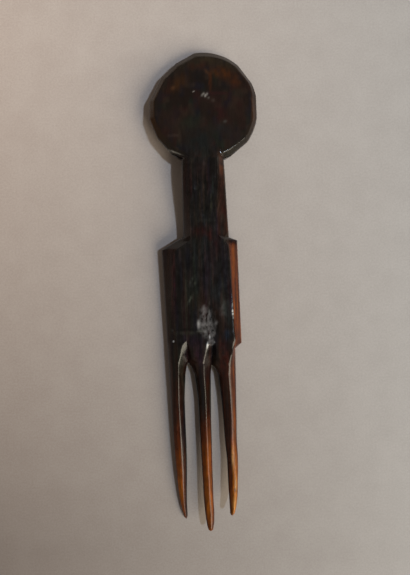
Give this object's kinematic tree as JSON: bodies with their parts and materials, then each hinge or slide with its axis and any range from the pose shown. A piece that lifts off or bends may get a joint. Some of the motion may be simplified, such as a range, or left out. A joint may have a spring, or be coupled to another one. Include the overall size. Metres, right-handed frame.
{
  "type": "hair comb",
  "caption": "Carved dark wood hair comb shaped like a simple standing figure: a disc head, a bevelled neck, a square-shouldered body and long tines with gaps between them.",
  "frame": {"origin": "centre of the footprint of the comb lying on its back, on the surface it rests on", "axes": "+Y towards the head end along the comb, +Z out of the front face, +X to the comb's right as seen from the front with the head up"},
  "size_m": [0.052, 0.2334, 0.0158],
  "materials": {
    "dark_patina_wood": "hand-polished near-black patina, satin gloss",
    "worn_tine_wood": "hand-polished reddish brown wood, worn lighter towards the tips"
  },
  "bodies": {
    "root": {"head": "dark_patina_wood", "neck": "dark_patina_wood", "body": "dark_patina_wood", "tine_left": "worn_tine_wood", "tine_middle": "worn_tine_wood", "tine_right": "worn_tine_wood"}
  },
  "joints": []
}
